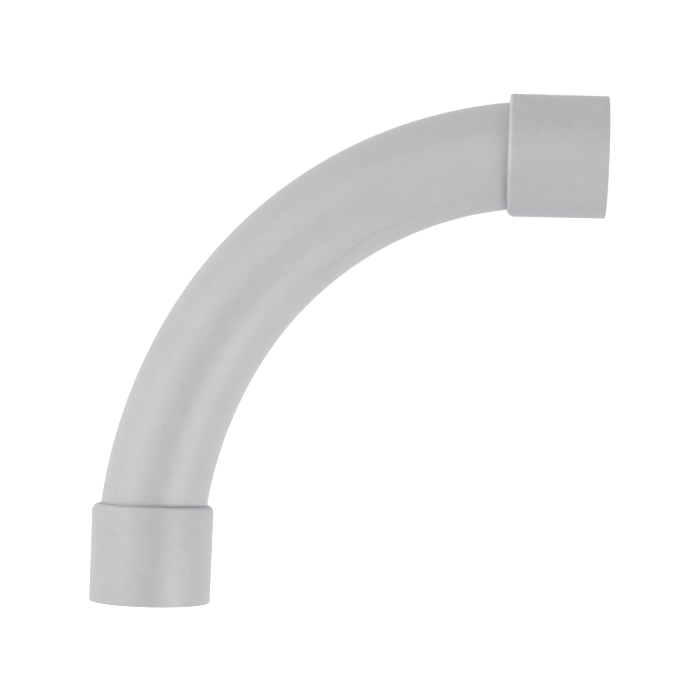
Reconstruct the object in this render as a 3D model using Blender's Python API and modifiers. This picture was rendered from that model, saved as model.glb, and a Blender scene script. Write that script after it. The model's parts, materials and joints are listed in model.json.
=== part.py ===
"""PVC conduit elbow: a quarter-turn bend of 20 mm tube with a coupler pushed onto each end.

Metres, +Z up. The lower coupler opens downwards, and the centre of its open end is the origin.
The bend lies in the XZ plane, and the upper coupler opens along +X.
"""

from math import cos, pi, radians, sin

import bpy

MM = 0.001

# Tube
TUBE_RADIUS = 10.0 * MM
TUBE_WALL = 1.55 * MM
TUBE_CHAMFER = 0.3 * MM
TUBE_SIDES = 32

# Centreline of the bend: a short tight turn inside each coupler, and two long arcs between them
LIP_TILT = radians(6.7)
TIGHT_RADIUS = 26.0 * MM
LOWER_ARC_RADIUS = 84.0 * MM
LOWER_ARC_TURN = radians(24.0)
UPPER_ARC_RADIUS = 72.2 * MM
UPPER_ARC_TURN = pi / 2 - 2 * LIP_TILT - LOWER_ARC_TURN
ARC_STEP = radians(2.6)

# Coupler, measured from its open end: a socket for the conduit, a stop rib, and a seat for the bend
GAP = 0.3 * MM
COUPLER_LENGTH = 18.4 * MM
LIP_RADIUS = 11.5 * MM
MOUTH_RADIUS = 11.4 * MM
MOUTH_CHAMFER = 0.25 * MM
SOCKET_RADIUS = 10.15 * MM
SOCKET_DEPTH = 9.6 * MM
LEAD_IN_WIDTH = 0.4 * MM
LEAD_IN_DEPTH = 0.8 * MM
STOP_RADIUS = 8.9 * MM
STOP_WIDTH = 1.2 * MM
SEAT_RADIUS = TUBE_RADIUS + GAP
FLARE_RADIUS = 10.6 * MM
FLARE_DEPTH = TIGHT_RADIUS * sin(LIP_TILT)
LIP_ROUNDING = LIP_RADIUS - FLARE_RADIUS
LIP_STEPS = 5
COUPLER_STEPS = 40

# The bend's own ends, straight inside the couplers and just short of the stop ribs
SPIGOT_START = SOCKET_DEPTH + STOP_WIDTH + GAP
SPIGOT_LENGTH = COUPLER_LENGTH - FLARE_DEPTH - SPIGOT_START

MERGE = 0.00001
SHARP_ANGLE = radians(30.0)

BEND_GREY = (0.56, 0.56, 0.565)
COUPLER_GREY = (0.54, 0.54, 0.545)
PVC_ROUGHNESS = 0.42


def clear_scene():
    for obj in list(bpy.data.objects):
        bpy.data.objects.remove(obj, do_unlink=True)


def pvc(name, grey):
    material = bpy.data.materials.new(name)
    material.use_nodes = True
    shader = material.node_tree.nodes["Principled BSDF"]
    shader.inputs["Base Color"].default_value = (*grey, 1.0)
    shader.inputs["Roughness"].default_value = PVC_ROUGHNESS
    shader.inputs["Metallic"].default_value = 0.0
    return material


def new_object(name, data, collection):
    obj = bpy.data.objects.new(name, data)
    collection.objects.link(obj)
    return obj


def evaluated_mesh(obj, name):
    """The object's mesh with its modifiers or bevel worked out. The object itself is removed."""
    depsgraph = bpy.context.evaluated_depsgraph_get()
    mesh = bpy.data.meshes.new_from_object(obj.evaluated_get(depsgraph))
    mesh.name = name
    bpy.data.objects.remove(obj, do_unlink=True)
    return mesh


def shade_round(mesh):
    mesh.shade_smooth()
    mesh.set_sharp_from_angle(angle=SHARP_ANGLE)


def bend_centreline():
    """Points (x, z) from the end of the lower spigot to the end of the upper one."""
    x, z, heading = 0.0, SPIGOT_START, 0.0
    points = [(x, z)]
    z += SPIGOT_LENGTH
    points.append((x, z))
    arcs = (
        (TIGHT_RADIUS, LIP_TILT),
        (LOWER_ARC_RADIUS, LOWER_ARC_TURN),
        (UPPER_ARC_RADIUS, UPPER_ARC_TURN),
        (TIGHT_RADIUS, LIP_TILT),
    )
    for radius, turn in arcs:
        steps = round(turn / ARC_STEP)
        for _ in range(steps):
            next_heading = heading + turn / steps
            x += radius * (cos(heading) - cos(next_heading))
            z += radius * (sin(next_heading) - sin(heading))
            heading = next_heading
            points.append((x, z))
    points.append((x + SPIGOT_LENGTH, z))
    return points


def make_bend_tube(centreline, collection):
    """The tube's outer skin is a swept circle, and Solidify gives it its wall."""
    curve = bpy.data.curves.new("bend_centreline", "CURVE")
    curve.dimensions = "3D"
    curve.bevel_depth = TUBE_RADIUS
    curve.bevel_resolution = TUBE_SIDES // 2 - 2
    spline = curve.splines.new("POLY")
    spline.points.add(len(centreline) - 1)
    for point, (x, z) in zip(spline.points, centreline):
        point.co = (x, 0.0, z, 1.0)
    skin = evaluated_mesh(new_object("bend_skin", curve, collection), "bend_tube")

    bend = new_object("bend_tube", skin, collection)
    wall = bend.modifiers.new("wall", "SOLIDIFY")
    wall.thickness = TUBE_WALL
    wall.offset = -1.0
    wall.use_even_offset = True
    chamfer = bend.modifiers.new("end_chamfer", "BEVEL")
    chamfer.width = TUBE_CHAMFER
    chamfer.segments = 1
    chamfer.limit_method = "ANGLE"
    chamfer.angle_limit = radians(60.0)
    shade_round(skin)
    bend.data.materials.append(pvc("bend_pvc", BEND_GREY))
    return bend


def coupler_profile():
    """Outline (radius, height) of the coupler's wall: down the outside, then up the inside."""
    outline = []
    for step in range(LIP_STEPS + 1):
        angle = pi / 2 * (1 - step / LIP_STEPS)
        radius = FLARE_RADIUS + LIP_ROUNDING * cos(angle)
        height = COUPLER_LENGTH - LIP_ROUNDING * (1 - sin(angle))
        outline.append((radius, height))
    outline.append((MOUTH_RADIUS, MOUTH_CHAMFER))
    outline.append((MOUTH_RADIUS - MOUTH_CHAMFER, 0.0))
    outline.append((SOCKET_RADIUS + LEAD_IN_WIDTH, 0.0))
    outline.append((SOCKET_RADIUS, LEAD_IN_DEPTH))
    outline.append((SOCKET_RADIUS, SOCKET_DEPTH))
    outline.append((STOP_RADIUS, SOCKET_DEPTH))
    outline.append((STOP_RADIUS, SOCKET_DEPTH + STOP_WIDTH))
    outline.append((SEAT_RADIUS, SOCKET_DEPTH + STOP_WIDTH))
    outline.append((SEAT_RADIUS, COUPLER_LENGTH - FLARE_DEPTH))
    return outline


def turned_mesh(name, outline, collection):
    """A closed outline turned about Z."""
    points = [(radius, 0.0, height) for radius, height in outline]
    edges = [(index, (index + 1) % len(points)) for index in range(len(points))]
    profile = bpy.data.meshes.new("profile")
    profile.from_pydata(points, edges, [])
    turned = new_object("turned_profile", profile, collection)
    screw = turned.modifiers.new("turn", "SCREW")
    screw.axis = "Z"
    screw.angle = 2 * pi
    screw.steps = COUPLER_STEPS
    screw.render_steps = COUPLER_STEPS
    screw.use_merge_vertices = True
    screw.merge_threshold = MERGE
    mesh = evaluated_mesh(turned, name)
    shade_round(mesh)
    return mesh


def make_couplers(centreline, collection):
    """Two equal couplers, each with its origin at the centre of its open end and +Z towards the bend."""
    mesh = turned_mesh("coupler", coupler_profile(), collection)
    mesh.materials.append(pvc("coupler_pvc", COUPLER_GREY))
    new_object("lower_coupler", mesh, collection)

    upper = new_object("upper_coupler", mesh, collection)
    end_x, end_z = centreline[-1]
    upper.location = (end_x + SPIGOT_START, 0.0, end_z)
    upper.rotation_euler = (0.0, -pi / 2, 0.0)


def main():
    clear_scene()
    collection = bpy.data.collections.new("PVC conduit elbow")
    bpy.context.scene.collection.children.link(collection)
    centreline = bend_centreline()
    make_bend_tube(centreline, collection)
    make_couplers(centreline, collection)


main()
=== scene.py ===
"""Looks of a PVC conduit elbow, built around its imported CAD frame.

Metres, in the frame's own axes: the lower coupler opens downwards at the origin, and the upper one
opens along +X. Each CAD solid is replaced by a finer mesh of the same piece, in the same place.
"""

import json
from math import acos, atan2, cos, pi, radians, sin, tan

import bmesh
import bpy
import numpy as np
from mathutils import Matrix, Vector


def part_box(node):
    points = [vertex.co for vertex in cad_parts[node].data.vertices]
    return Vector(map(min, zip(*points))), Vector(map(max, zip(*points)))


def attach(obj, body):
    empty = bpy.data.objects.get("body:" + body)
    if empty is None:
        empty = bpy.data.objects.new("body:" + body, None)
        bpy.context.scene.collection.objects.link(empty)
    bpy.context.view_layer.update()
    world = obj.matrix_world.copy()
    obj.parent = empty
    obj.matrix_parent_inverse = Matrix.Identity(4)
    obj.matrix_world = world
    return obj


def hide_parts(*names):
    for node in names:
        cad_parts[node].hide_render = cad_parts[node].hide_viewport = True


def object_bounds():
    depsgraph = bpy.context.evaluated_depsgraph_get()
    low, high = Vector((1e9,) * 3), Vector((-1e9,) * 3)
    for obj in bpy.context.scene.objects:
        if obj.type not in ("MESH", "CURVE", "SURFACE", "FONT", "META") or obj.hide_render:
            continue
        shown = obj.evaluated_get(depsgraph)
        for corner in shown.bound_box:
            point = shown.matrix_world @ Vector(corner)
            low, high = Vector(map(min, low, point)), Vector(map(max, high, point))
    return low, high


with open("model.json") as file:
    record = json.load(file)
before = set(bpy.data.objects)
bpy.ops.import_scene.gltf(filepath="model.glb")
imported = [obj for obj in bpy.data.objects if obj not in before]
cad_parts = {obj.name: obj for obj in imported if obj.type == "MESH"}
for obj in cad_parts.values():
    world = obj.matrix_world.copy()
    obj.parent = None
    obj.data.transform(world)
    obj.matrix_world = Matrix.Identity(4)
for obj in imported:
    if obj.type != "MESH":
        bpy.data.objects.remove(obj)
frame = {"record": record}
cad_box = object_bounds()

MM = 0.001

# Tube
TUBE_RADIUS = 10.0 * MM
TUBE_WALL = 1.55 * MM
TUBE_END_ROUNDING = 0.35 * MM
BORE_END_ROUNDING = 0.2 * MM
TUBE_SIDES = 120
RING_SPACING = 1.0 * MM
OVALITY = 0.05 * MM
OVALITY_FADE = 10 * MM

# Centreline of the bend: a short tight turn inside each coupler, and two long arcs between them. The
# curvature is averaged over CURVATURE_BLEND, so one arc runs smoothly into the next.
LIP_TILT = radians(6.7)
TIGHT_RADIUS = 26.0 * MM
LOWER_ARC_RADIUS = 84.0 * MM
LOWER_ARC_TURN = radians(24.0)
UPPER_ARC_RADIUS = 72.2 * MM
UPPER_ARC_TURN = pi / 2 - 2 * LIP_TILT - LOWER_ARC_TURN
PATH_STEP = 0.05 * MM
CURVATURE_BLEND = 2.0 * MM

# Coupler, measured from its open end. Each lip's rounding is given on the bend's outer side, on the
# flanks and on the inner side.
COUPLER_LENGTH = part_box("lower_coupler")[1].z
LIP_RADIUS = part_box("lower_coupler")[1].y
MOUTH_RADIUS = 11.4 * MM
SOCKET_RADIUS = 10.15 * MM
SOCKET_DEPTH = 9.6 * MM
LEAD_IN_WIDTH = 0.4 * MM
LEAD_IN_DEPTH = 0.8 * MM
STOP_RADIUS = 8.9 * MM
STOP_WIDTH = 1.2 * MM
STOP_GAP = 0.3 * MM
SEAT_RADIUS = 10.15 * MM
FLARE_RADIUS = 10.32 * MM
FLARE_OVAL = 0.15 * MM
FLARE_DEPTH = TIGHT_RADIUS * sin(LIP_TILT)
LIP_LAND = 0.08 * MM
LOWER_LIP = (1.5 * MM, 0.45 * MM, 1.5 * MM)
UPPER_LIP = (0.55 * MM, 0.7 * MM, 1.5 * MM)
LIP_STEPS = 10
MOUTH_ROUNDING = 0.18 * MM
LEAD_IN_ROUNDING = 0.1 * MM
SOCKET_ROUNDING = 0.3 * MM
STOP_ROUNDING = 0.2 * MM
CORNER_ROUNDING = 0.15 * MM
FLARE_ROUNDING = 0.8 * MM
COUPLER_SIDES = 144

# The bend's ends, straight inside the couplers and just short of the stop ribs
SPIGOT_START = SOCKET_DEPTH + STOP_WIDTH + STOP_GAP
SPIGOT_LENGTH = COUPLER_LENGTH - FLARE_DEPTH - SPIGOT_START

SHARP_ANGLE = radians(40.0)

# Material
BEND_GREY = (0.551, 0.550, 0.567)
COUPLER_GREY = (0.535, 0.534, 0.553)
PVC_IOR = 1.53
GRAIN_HEIGHT = 0.005 * MM
PEEL_HEIGHT = 0.02 * MM

# Painted light and wear: depths from the lip, angles about the tube (0 is the outer side) and distances
# along it
# A painted highlight along the upper coupler's lip
LIP_PAINTED_HIGHLIGHT = 0.11
LIP_PAINTED_HIGHLIGHT_DEPTHS = (0.85 * MM, 0.45 * MM)
# Painted shade along a crease on the bend's inner side, with some dirt in it
CREASE_DIRT_AND_PAINTED_SHADE = -0.085
CREASE_SHADE_ANGLE = radians(-140.5)
CREASE_SHADE_WIDTH = radians(2.5)
CREASE_SHADE_START = (72 * MM, 81 * MM)
CREASE_SHADE_FADE = (90 * MM, 100 * MM)
FLECK_SHADE = -0.10
FLECK_ANGLE = radians(-97.0)
FLECK_WIDTH = radians(14.0)
FLECK_START = (20 * MM, 32 * MM)
FLECK_END = (62 * MM, 78 * MM)

# Camera, aimed close to the middle of the part
CAMERA_DISTANCE = 358.75 * MM
CAMERA_LENS = 97.7
CAMERA_YAW = radians(4.97)
CAMERA_PITCH = radians(1.68)
CAMERA_ROLL = radians(2.04)
AIM_OFFSET = Vector((0.49, 0.0, -0.11)) * MM

# Studio light. A soft panel is (degrees right, degrees up, width, height, light), and straight ahead is
# -Y, the side that the camera is on.
PANELS = (
    (-46.0, 8.0, 34.0, 34.0, (2.78, 2.78, 2.57)),
    (54.0, -18.0, 24.0, 28.0, (3.60, 3.60, 3.40)),
)
BACKDROP_LIGHT = (0.76, 0.76, 0.73)
BACKDROP_EDGE = (-0.43, 0.02)
FILL_LIGHT = (0.03, 0.03, 0.08)
SEEN_WHITE = (1.05, 1.05, 1.05, 1.0)
FLOOR_SIZE = 30.0
FLOOR_DROP = 0.5
FLOOR_WHITE = (0.9, 0.9, 0.9, 1.0)
FLOOR_GLOW = 0.6


# ---------------------------------------------------------------- outlines and swept meshes

def rounded(corners):
    """A closed outline with its corners rounded. Each corner is (radius, distance, rounding, steps)."""
    points = []
    count = len(corners)
    for index, (radius, distance, rounding, steps) in enumerate(corners):
        corner = Vector((radius, distance))
        if rounding == 0.0:
            points.append(corner)
            continue
        before = (Vector(corners[index - 1][:2]) - corner).normalized()
        after = (Vector(corners[(index + 1) % count][:2]) - corner).normalized()
        half_angle = before.angle(after) / 2
        centre = corner + (before + after).normalized() * rounding / sin(half_angle)
        start = corner + before * rounding / tan(half_angle) - centre
        end = corner + after * rounding / tan(half_angle) - centre
        first = atan2(start.y, start.x)
        sweep = (atan2(end.y, end.x) - first + pi) % (2 * pi) - pi
        for step in range(steps + 1):
            angle = first + sweep * step / steps
            points.append(centre + rounding * Vector((cos(angle), sin(angle))))
    return np.array([tuple(point) for point in points])


def subdivided(outline, spacing):
    """The outline with extra points on its long straight stretches."""
    points = []
    for start, end in zip(outline, np.roll(outline, -1, axis=0)):
        pieces = max(1, int(np.ceil(np.linalg.norm(end - start) / spacing)))
        points.extend(start + (end - start) * k / pieces for k in range(pieces))
    return np.array(points)


def turned_along(name, outlines, path):
    """A mesh of outlines (angle, point, (radius, distance)) turned about a path.

    Angle 0 is the outer side of the bend. path gives centre points and outward directions at
    distances along it. The unbent coordinates are stored, for materials that follow the tube.
    """
    sides, count = outlines.shape[:2]
    angles = np.arange(sides) * 2 * pi / sides
    radius, distance = outlines[..., 0], outlines[..., 1]
    centre, outward = path(distance)
    across = np.array((0.0, 1.0, 0.0))
    turned = outward * np.cos(angles)[:, None, None] + across * np.sin(angles)[:, None, None]
    points = (centre + radius[..., None] * turned).reshape(-1, 3)
    faces = []
    for side in range(sides):
        here, there = side * count, (side + 1) % sides * count
        for index in range(count):
            after = (index + 1) % count
            faces.append((here + index, here + after, there + after, there + index))
    mesh = bpy.data.meshes.new(name)
    mesh.from_pydata(points.tolist(), [], faces)
    unbent = np.stack((
        radius * np.cos(angles)[:, None],
        radius * np.sin(angles)[:, None],
        distance,
    ), axis=-1)
    attribute = mesh.attributes.new("unbent", "FLOAT_VECTOR", "POINT")
    attribute.data.foreach_set("vector", unbent.astype(np.float32).ravel())
    face_out(mesh)
    mesh.shade_smooth()
    mesh.set_sharp_from_angle(angle=SHARP_ANGLE)
    piece = bpy.data.objects.new(name, mesh)
    bpy.context.scene.collection.objects.link(piece)
    return piece


def face_out(mesh):
    """Turns the front of every face outwards."""
    shape = bmesh.new()
    shape.from_mesh(mesh)
    bmesh.ops.recalc_face_normals(shape, faces=shape.faces)
    shape.to_mesh(mesh)
    shape.free()


# ---------------------------------------------------------------- bend

def bend_path():
    """The bend's centreline, as a function of distance from the lower coupler's open end."""
    segments = (
        (SPIGOT_START + SPIGOT_LENGTH, 0.0),
        (TIGHT_RADIUS * LIP_TILT, 1 / TIGHT_RADIUS),
        (LOWER_ARC_RADIUS * LOWER_ARC_TURN, 1 / LOWER_ARC_RADIUS),
        (UPPER_ARC_RADIUS * UPPER_ARC_TURN, 1 / UPPER_ARC_RADIUS),
        (TIGHT_RADIUS * LIP_TILT, 1 / TIGHT_RADIUS),
        (SPIGOT_LENGTH + SPIGOT_START, 0.0),
    )
    ends = np.cumsum([length for length, _ in segments])
    curvatures = np.array([curvature for _, curvature in segments])
    distances = np.arange(0.0, ends[-1] + PATH_STEP, PATH_STEP)
    middles = distances[:-1] + PATH_STEP / 2
    curvature = curvatures[np.searchsorted(ends[:-1], middles)]
    window = int(CURVATURE_BLEND / PATH_STEP)
    curvature = np.convolve(curvature, np.ones(window) / window, mode="same")
    heading = np.concatenate(((0.0,), np.cumsum(curvature) * PATH_STEP))
    mid_heading = (heading[:-1] + heading[1:]) / 2
    x = np.concatenate(((0.0,), np.cumsum(np.sin(mid_heading)) * PATH_STEP))
    z = np.concatenate(((0.0,), np.cumsum(np.cos(mid_heading)) * PATH_STEP))

    def path(distance):
        h = np.interp(distance, distances, heading)
        centre = np.stack((
            np.interp(distance, distances, x),
            np.zeros_like(h),
            np.interp(distance, distances, z),
        ), axis=-1)
        outward = np.stack((-np.cos(h), np.zeros_like(h), np.sin(h)), axis=-1)
        return centre, outward

    return path, ends[-1]


def pressed_oval(outlines, length):
    """Bending presses the tube a little oval: narrower in the bend's plane and wider across it.

    The tube is round in the couplers, and fully oval from OVALITY_FADE past their lips.
    """
    angles = np.arange(TUBE_SIDES) * 2 * pi / TUBE_SIDES
    distance = outlines[..., 1]
    share = np.clip((distance - COUPLER_LENGTH) / OVALITY_FADE, 0, 1)
    share *= np.clip((length - COUPLER_LENGTH - distance) / OVALITY_FADE, 0, 1)
    outlines[..., 0] -= OVALITY * share * np.cos(2 * angles)[:, None]
    return outlines


def make_bend(material):
    path, length = bend_path()
    start, end = SPIGOT_START, length - SPIGOT_START
    bore_radius = TUBE_RADIUS - TUBE_WALL
    outline = subdivided(rounded((
        (TUBE_RADIUS, end, TUBE_END_ROUNDING, 3),
        (TUBE_RADIUS, start, TUBE_END_ROUNDING, 3),
        (bore_radius, start, BORE_END_ROUNDING, 2),
        (bore_radius, end, BORE_END_ROUNDING, 2),
    )), RING_SPACING)
    outlines = pressed_oval(np.repeat(outline[None], TUBE_SIDES, axis=0), length)
    bend = turned_along("swept_bend", outlines, path)
    bend.data.materials.append(material)
    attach(bend, "bend")
    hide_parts("bend_tube")


# ---------------------------------------------------------------- couplers

def straight_path(start, direction, outward):
    """A straight line, as a function of distance from a coupler's open end."""
    def path(distance):
        centre = np.array(start) + distance[..., None] * np.array(direction)
        return centre, np.broadcast_to(np.array(outward, float), centre.shape)

    return path


def lip_arc(rounding, flare):
    """The lip from its inner edge out and down: a narrow land, then a round down to the outside."""
    middle = Vector((LIP_RADIUS - rounding, COUPLER_LENGTH - rounding))
    first = acos(max(0.0, flare + LIP_LAND - middle.x) / rounding)
    angles = [first * (1 - step / LIP_STEPS) for step in range(LIP_STEPS + 1)]
    arc = [middle + rounding * Vector((cos(angle), sin(angle))) for angle in angles]
    return [Vector((flare, arc[0].y))] + arc


def coupler_outline(rounding, flare):
    """The coupler's wall, from the lip down the outside and up the inside."""
    return rounded((
        *((radius, distance, 0.0, 0) for radius, distance in lip_arc(rounding, flare)),
        (MOUTH_RADIUS, 0.0, MOUTH_ROUNDING, 4),
        (SOCKET_RADIUS + LEAD_IN_WIDTH, 0.0, LEAD_IN_ROUNDING, 2),
        (SOCKET_RADIUS, LEAD_IN_DEPTH, SOCKET_ROUNDING, 2),
        (SOCKET_RADIUS, SOCKET_DEPTH, CORNER_ROUNDING, 2),
        (STOP_RADIUS, SOCKET_DEPTH, STOP_ROUNDING, 3),
        (STOP_RADIUS, SOCKET_DEPTH + STOP_WIDTH, STOP_ROUNDING, 3),
        (SEAT_RADIUS, SOCKET_DEPTH + STOP_WIDTH, CORNER_ROUNDING, 2),
        (SEAT_RADIUS, COUPLER_LENGTH - FLARE_DEPTH, FLARE_ROUNDING, 2),
    ))


def lip_rounding(angle, outer, flank, inner):
    """The flanks' rounding, which turns into the outer or inner side's only close to that side."""
    side = outer if cos(angle) > 0 else inner
    return flank + (side - flank) * cos(angle) ** 8


def flare_radius(angle):
    """Narrower on the flanks, because the tube bends away from the axis only in the bend's plane."""
    return FLARE_RADIUS - FLARE_OVAL * sin(angle) ** 2


def make_coupler(name, path, lip, material):
    angles = [2 * pi * side / COUPLER_SIDES for side in range(COUPLER_SIDES)]
    outlines = np.stack([
        coupler_outline(lip_rounding(angle, *lip), flare_radius(angle))
        for angle in angles
    ])
    coupler = turned_along(name + "_moulding", outlines, path)
    coupler.data.materials.append(material)
    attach(coupler, name)
    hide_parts(name)


def make_couplers(lower_material, upper_material):
    mounts = {mount["name"]: mount for mount in frame["record"]["mounts"]}
    lower = straight_path(mounts["lower_conduit"]["pos_m"], (0, 0, 1), (-1, 0, 0))
    upper = straight_path(mounts["upper_conduit"]["pos_m"], (-1, 0, 0), (0, 0, 1))
    make_coupler("lower_coupler", lower, LOWER_LIP, lower_material)
    make_coupler("upper_coupler", upper, UPPER_LIP, upper_material)


# ---------------------------------------------------------------- materials

class Nodes:
    """Adds nodes to a material or world and links them."""

    def __init__(self, owner):
        owner.use_nodes = True
        self.tree = owner.node_tree
        self.tree.nodes.clear()

    def add(self, kind, inputs=(), **settings):
        """A new node. Each of its inputs is given a value, or another node's socket to link to."""
        node = self.tree.nodes.new(kind)
        for name, value in settings.items():
            setattr(node, name, value)
        for key, value in dict(inputs).items():
            if isinstance(value, bpy.types.NodeSocket):
                self.tree.links.new(value, node.inputs[key])
            else:
                node.inputs[key].default_value = value
        return node

    def math(self, operation, *values):
        node = self.add("ShaderNodeMath", operation=operation)
        for socket, value in zip(node.inputs, values):
            if isinstance(value, bpy.types.NodeSocket):
                self.tree.links.new(value, socket)
            else:
                socket.default_value = value
        return node.outputs[0]

    def product(self, first, *others):
        """The values multiplied together."""
        for other in others:
            first = self.math("MULTIPLY", first, other)
        return first

    def ramp(self, value, low, high, to_low, to_high, held=True):
        """value between low and high becomes to_low to to_high, and is held beyond them or runs on."""
        node = self.add("ShaderNodeMapRange", {
            "Value": value, "From Min": low, "From Max": high, "To Min": to_low, "To Max": to_high,
        }, clamp=held)
        return node.outputs["Result"]

    def hump(self, value, centre, width):
        """1 where value is at the centre, falling to 1/e one width away from it."""
        off = self.ramp(value, centre, centre + width, 0.0, 1.0, False)
        return self.math("EXPONENT", self.math("MULTIPLY", self.math("POWER", off, 2.0), -1.0))

    def scaled_add(self, colour, amount, base):
        """colour times amount, added to base."""
        scaled = self.add("ShaderNodeVectorMath", {0: colour, "Scale": amount}, operation="SCALE")
        total = self.add("ShaderNodeVectorMath", {0: scaled.outputs[0], 1: base}, operation="ADD")
        return total.outputs[0]

    def noise(self, vector, per_mm, detail=2.0, stretch=(1.0, 1.0, 1.0)):
        """Noise with per_mm features a millimetre, stretched where a factor is under 1."""
        scale = [per_mm / MM * factor for factor in stretch]
        mapped = self.add("ShaderNodeMapping", {"Vector": vector, "Scale": scale})
        node = self.add("ShaderNodeTexNoise", {
            "Vector": mapped.outputs["Vector"], "Scale": 1.0, "Detail": detail, "Roughness": 0.55,
        })
        return node.outputs["Fac"]


def painted_lip_highlight(nodes, along):
    """A painted highlight: a coupler's lip is painted a little lighter."""
    distance = nodes.add("ShaderNodeSeparateXYZ", {"Vector": along}).outputs["Z"]
    start, full = (COUPLER_LENGTH - depth for depth in LIP_PAINTED_HIGHLIGHT_DEPTHS)
    return nodes.ramp(distance, start, full, 0.0, LIP_PAINTED_HIGHLIGHT)


def bend_marks_and_painted_shade(nodes, along):
    """A thin dark line on the bend's inner side, painted shade of a bending crease with some dirt in
    it, and a strip of small dark flecks on its front.
    """
    parts = nodes.add("ShaderNodeSeparateXYZ", {"Vector": along}).outputs
    angle = nodes.math("ARCTAN2", parts["Y"], parts["X"])
    distance = parts["Z"]

    # the line is painted shade along a crease, with some dirt in it
    wander = nodes.ramp(nodes.noise(along, 0.1, 1.0), 0.3, 0.7, -CREASE_SHADE_WIDTH, CREASE_SHADE_WIDTH)
    line = nodes.product(
        nodes.hump(nodes.math("ADD", angle, wander), CREASE_SHADE_ANGLE, CREASE_SHADE_WIDTH),
        nodes.ramp(distance, *CREASE_SHADE_START, 0.0, CREASE_DIRT_AND_PAINTED_SHADE),
        nodes.ramp(distance, *CREASE_SHADE_FADE, 1.0, 0.5),
    )
    flecks = nodes.product(
        nodes.ramp(nodes.noise(along, 1.1, 3.0, (1.0, 1.0, 0.5)), 0.58, 0.70, 0.0, FLECK_SHADE),
        nodes.hump(angle, FLECK_ANGLE, FLECK_WIDTH),
        nodes.ramp(distance, *FLECK_START, 0.0, 1.0),
        nodes.ramp(distance, *FLECK_END, 1.0, 0.0),
    )
    return nodes.math("ADD", line, flecks)


def specks(nodes, along):
    """Sparse tiny dark specks, as a factor of the shade. Their outlines are made uneven by noise."""
    uneven = nodes.add("ShaderNodeTexNoise", {"Vector": along, "Scale": 3.0 / MM, "Detail": 2.0})
    place = nodes.scaled_add(uneven.outputs["Color"], 0.35 * MM, along)
    cell = nodes.add("ShaderNodeTexVoronoi", {"Vector": place, "Scale": 0.5 / MM})
    chance = nodes.add("ShaderNodeSeparateColor", {"Color": cell.outputs["Color"]}).outputs["Red"]
    size = nodes.ramp(chance, 0.8, 1.0, -0.04, 0.09)
    return nodes.ramp(nodes.math("SUBTRACT", cell.outputs["Distance"], size), -0.04, 0.06, 0.91, 1.0)


def pvc(name, grey, streaks, mottling, wear_and_painted_light=None):
    """Light grey PVC: cloudy and mottled, with faint draw lines, smudges, specks, scuffs and a grain.

    The last argument is a function that adds its own change of shade: painted highlight and painted
    shade as well as wear.
    """
    material = bpy.data.materials.new(name)
    nodes = Nodes(material)
    along = nodes.add("ShaderNodeAttribute", attribute_name="unbent").outputs["Vector"]

    lines = nodes.noise(along, 0.9, 2.0, (1.0, 1.0, 0.02))
    shade = nodes.product(
        nodes.ramp(nodes.noise(along, 0.09, 3.0), 0.3, 0.7, 0.98, 1.02),
        nodes.ramp(lines, 0.3, 0.7, 1 - streaks, 1 + streaks),
        nodes.ramp(nodes.noise(along, 1.3, 5.0), 0.60, 0.74, 1.0, 0.94),
        specks(nodes, along),
        nodes.ramp(nodes.noise(along, 0.55, 4.0), 0.3, 0.7, 1 - mottling, 1 + mottling),
    )
    scuff = nodes.ramp(nodes.noise(along, 1.1, 4.0, (1.0, 0.35, 0.12)), 0.62, 0.74, 0.0, 1.0)
    shade = nodes.math("ADD", shade, nodes.product(scuff, 0.02))
    # painted highlight and painted shade, with real wear, are added to the shade here
    if wear_and_painted_light:
        shade = nodes.math("ADD", shade, wear_and_painted_light(nodes, along))
    colour = nodes.add("ShaderNodeVectorMath", {0: grey, "Scale": shade}, operation="SCALE")

    rough = nodes.ramp(nodes.noise(along, 0.25, 3.0), 0.3, 0.7, 0.29, 0.35)
    rough = nodes.math("ADD", rough, nodes.product(scuff, 0.10))

    grain = nodes.product(nodes.noise(along, 2.6, 3.0), GRAIN_HEIGHT)
    peel = nodes.product(nodes.noise(along, 0.5, 1.0), PEEL_HEIGHT)
    height = nodes.math("ADD", grain, peel)
    bump = nodes.add("ShaderNodeBump", {"Height": height, "Strength": 1.0, "Distance": 1.0})

    shader = nodes.add("ShaderNodeBsdfPrincipled", {
        "Base Color": colour.outputs["Vector"],
        "Roughness": rough,
        "IOR": PVC_IOR,
        "Normal": bump.outputs["Normal"],
    })
    nodes.add("ShaderNodeOutputMaterial", {"Surface": shader.outputs["BSDF"]})
    return material


# ---------------------------------------------------------------- stage, light and camera

def make_floor():
    """A plain white floor that only the camera sees."""
    bpy.ops.mesh.primitive_plane_add(size=FLOOR_SIZE, location=(0.0, 0.0, -FLOOR_DROP))
    floor = bpy.context.object
    floor.name = "floor"
    floor.visible_diffuse = False
    floor.visible_glossy = False
    floor.visible_shadow = False
    material = bpy.data.materials.new("pale_floor")
    nodes = Nodes(material)
    shader = nodes.add("ShaderNodeBsdfPrincipled", {
        "Base Color": FLOOR_WHITE,
        "Roughness": 0.9,
        "Emission Color": (1.0, 1.0, 1.0, 1.0),
        "Emission Strength": FLOOR_GLOW,
    })
    nodes.add("ShaderNodeOutputMaterial", {"Surface": shader.outputs["BSDF"]})
    floor.data.materials.append(material)


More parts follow.
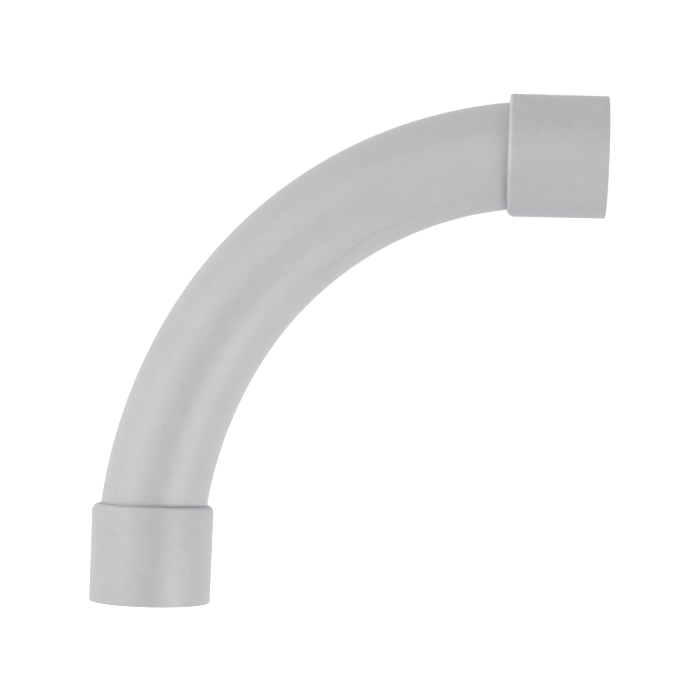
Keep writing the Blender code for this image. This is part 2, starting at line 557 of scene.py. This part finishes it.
def make_world():
    """Two soft panels in front of the part and a white backdrop behind. The camera sees plain white."""
    world = bpy.data.worlds.new("studio")
    bpy.context.scene.world = world
    nodes = Nodes(world)
    direction = nodes.add("ShaderNodeTexCoord").outputs["Generated"]
    parts = nodes.add("ShaderNodeSeparateXYZ", {"Vector": direction}).outputs
    across = nodes.math("ARCTAN2", parts["X"], nodes.product(parts["Y"], -1.0))
    up = nodes.math("ARCSINE", parts["Z"])
    backdrop = nodes.ramp(parts["Y"], *BACKDROP_EDGE, 0.0, 1.0)
    light = nodes.scaled_add(BACKDROP_LIGHT, backdrop, FILL_LIGHT)
    for panel_across, panel_up, width, height, brightness in PANELS:
        glow = nodes.product(
            nodes.hump(across, radians(panel_across), radians(width)),
            nodes.hump(up, radians(panel_up), radians(height)),
        )
        light = nodes.scaled_add(brightness, glow, light)
    seen = nodes.add("ShaderNodeLightPath").outputs["Is Camera Ray"]
    colour = nodes.add("ShaderNodeMix", {"Factor": seen, 6: light, 7: SEEN_WHITE}, data_type="RGBA")
    background = nodes.add("ShaderNodeBackground", {"Color": colour.outputs[2], "Strength": 1.0})
    nodes.add("ShaderNodeOutputWorld", {"Surface": background.outputs["Background"]})


def make_camera():
    """Looks nearly along +Y, a little turned and rolled."""
    centre = (cad_box[0] + cad_box[1]) / 2 + AIM_OFFSET
    turn = Matrix.Rotation(CAMERA_YAW, 4, "Z") @ Matrix.Rotation(pi / 2 + CAMERA_PITCH, 4, "X")
    turn = turn @ Matrix.Rotation(CAMERA_ROLL, 4, "Z")
    back = Matrix.Translation((0.0, 0.0, CAMERA_DISTANCE))
    camera = bpy.data.objects.new("camera", bpy.data.cameras.new("camera"))
    bpy.context.scene.collection.objects.link(camera)
    camera.data.lens = CAMERA_LENS
    camera.data.clip_start = 10 * MM
    camera.matrix_world = Matrix.Translation(centre) @ turn @ back
    bpy.context.scene.camera = camera


make_camera()
make_floor()
make_world()
bpy.context.scene.view_settings.view_transform = "Standard"
# the bend carries painted shade along a crease on its inner side
make_bend(pvc("bend_pvc_grey", BEND_GREY, streaks=0.010, mottling=0.018, wear_and_painted_light=bend_marks_and_painted_shade))
make_couplers(
    pvc("lower_coupler_pvc_grey", COUPLER_GREY, streaks=0.005, mottling=0.032),
    # the upper coupler's lip carries a painted highlight
    pvc("upper_coupler_pvc_grey", COUPLER_GREY, streaks=0.005, mottling=0.032, wear_and_painted_light=painted_lip_highlight),
)
